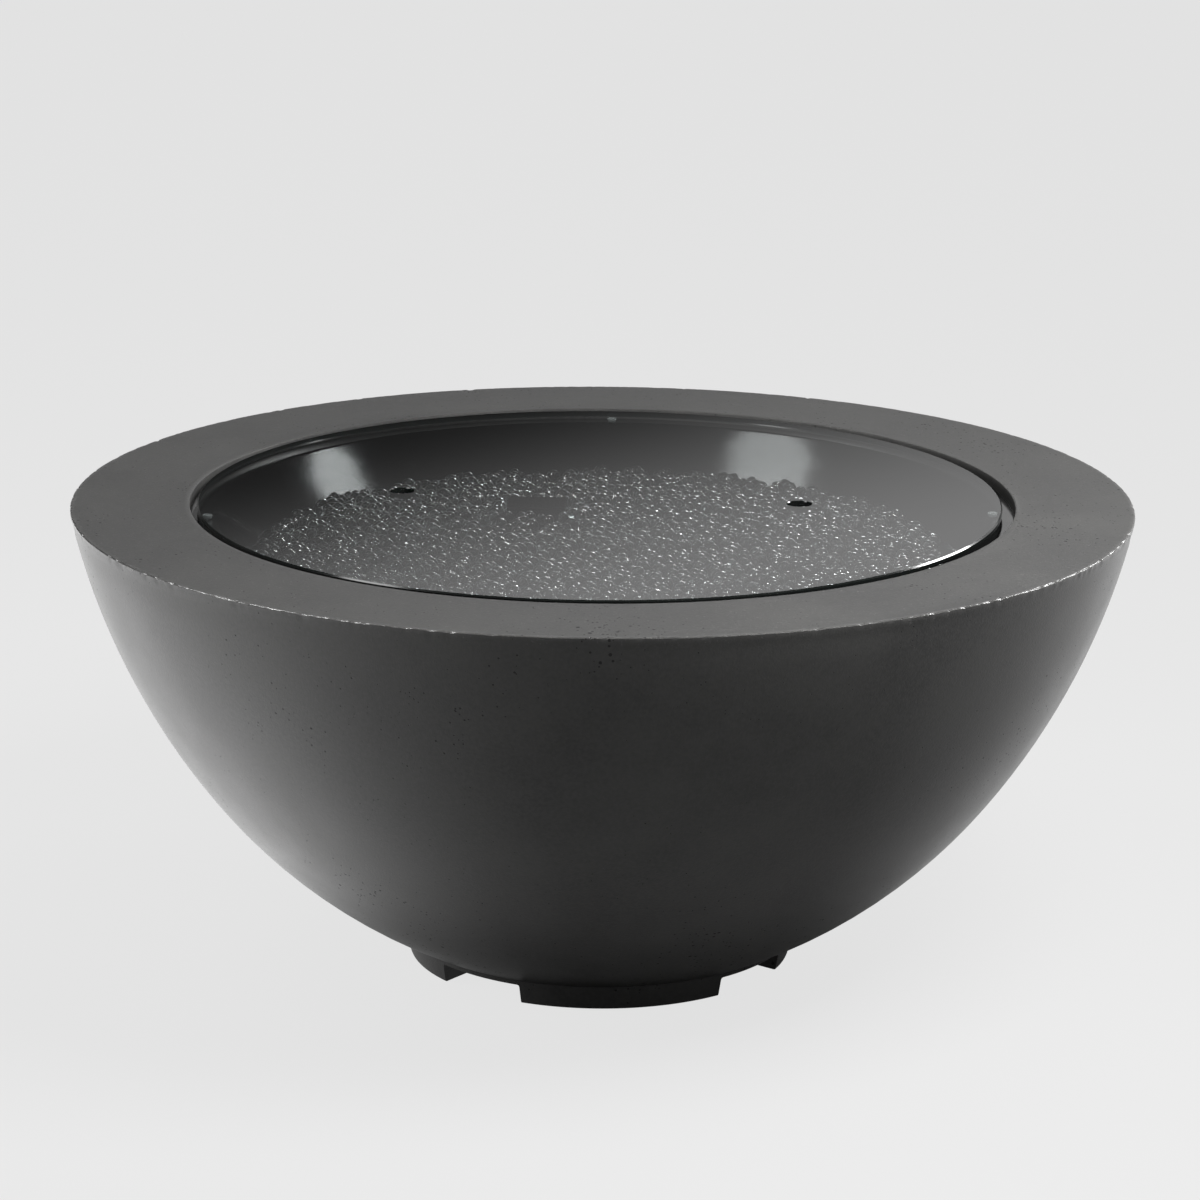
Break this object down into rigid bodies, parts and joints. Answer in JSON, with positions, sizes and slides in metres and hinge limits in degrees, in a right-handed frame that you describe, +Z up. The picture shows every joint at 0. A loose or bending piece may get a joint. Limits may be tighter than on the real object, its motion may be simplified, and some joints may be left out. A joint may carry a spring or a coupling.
{
  "type": "floor standing gas fire bowl",
  "caption": "Round cast concrete gas fire bowl with a drop-in steel burner pan, fire glass bed, lift-off glass cover and gas controls at the back.",
  "frame": {"origin": "centre of the bounding box's bottom, on the floor under the middle of the bowl", "axes": "+Z up; +Y to the back, where the control niche is; +X to the right seen from the front"},
  "size_m": [1.0668, 1.067, 0.476],
  "materials": {
    "cast_concrete": "satin sealed cast concrete, charcoal, fine pinholes",
    "pan_steel": "brushed stainless sheet",
    "burner_steel": "stainless tube and sheet, mill finish",
    "zinc_steel": "zinc plated",
    "brass_parts": "machined brass",
    "fire_glass_clear": "rounded clear and pale grey fire glass",
    "white_ceramic": "unglazed alumina",
    "cover_glass": "grey clear tempered sheet, polished edge",
    "clear_bumper": "clear silicone",
    "panel_steel": "brushed stainless plate",
    "valve_aluminium": "die cast, bead blasted",
    "black_knob": "satin black moulded plastic",
    "black_housing": "black moulded plastic",
    "chrome_cap": "polished plated cap",
    "cell_metal": "plain metal sleeve",
    "spring_steel": "spring wire",
    "hose_steel": "corrugated stainless hose",
    "lead_silicone": "silicone covered lead",
    "lead_copper": "copper probe lead"
  },
  "bodies": {
    "bowl": {"fire_bowl": "cast_concrete", "burner_pan": "pan_steel", "burner_ring": "burner_steel", "burner_nut": "zinc_steel", "air_mixer": "zinc_steel", "gas_orifice": "brass_parts", "fire_glass": "fire_glass_clear", "igniter_shield": "burner_steel", "shield_screws": "zinc_steel", "shield_nuts": "zinc_steel", "electrode_insulator": "white_ceramic", "electrode_wire": "burner_steel", "flame_probe": "burner_steel", "control_panel": "panel_steel", "panel_screws": "zinc_steel", "panel_anchors": "brass_parts", "gas_valve": "valve_aluminium", "valve_nut": "brass_parts", "igniter_housing": "black_housing", "igniter_nut": "black_housing", "igniter_cap": "chrome_cap", "igniter_cell": "cell_metal", "igniter_spring": "spring_steel", "supply_hose": "hose_steel", "mixer_hose": "hose_steel", "ignition_lead": "lead_silicone", "probe_lead": "lead_copper", "inlet_plate": "panel_steel", "inlet_screws": "zinc_steel", "inlet_anchors": "brass_parts", "inlet_fitting": "brass_parts", "inlet_nut": "brass_parts"},
    "cover": {"glass_cover": "cover_glass", "cover_bumpers": "clear_bumper"},
    "valve_push": {"valve_plunger": "brass_parts"},
    "knob": {"control_knob": "black_knob", "valve_stem": "brass_parts"},
    "button": {"igniter_button": "black_knob"},
    "shutter": {"air_shutter": "zinc_steel"}
  },
  "joints": [
    {"name": "cover_lift", "type": "slide", "parent": "bowl", "child": "cover", "axis": [0, 0, 1], "range_m": [0, 0.3]},
    {"name": "knob_push", "type": "slide", "parent": "bowl", "child": "valve_push", "axis": [0, -1, 0], "range_m": [0, 0.003], "stiffness_N_per_m": 900},
    {"name": "knob_turn", "type": "hinge", "parent": "valve_push", "child": "knob", "pos_m": [0.03, 0.445, 0.325], "axis": [0, 1, 0], "range_deg": [0, 210]},
    {"name": "igniter_press", "type": "slide", "parent": "bowl", "child": "button", "axis": [0, -1, 0], "range_m": [0, 0.003], "stiffness_N_per_m": 600, "deforming": ["igniter_spring"]},
    {"name": "air_shutter_turn", "type": "hinge", "parent": "bowl", "child": "shutter", "pos_m": [0, 0, 0.334], "axis": [0, 0, 1], "range_deg": [0, 60]}
  ]
}
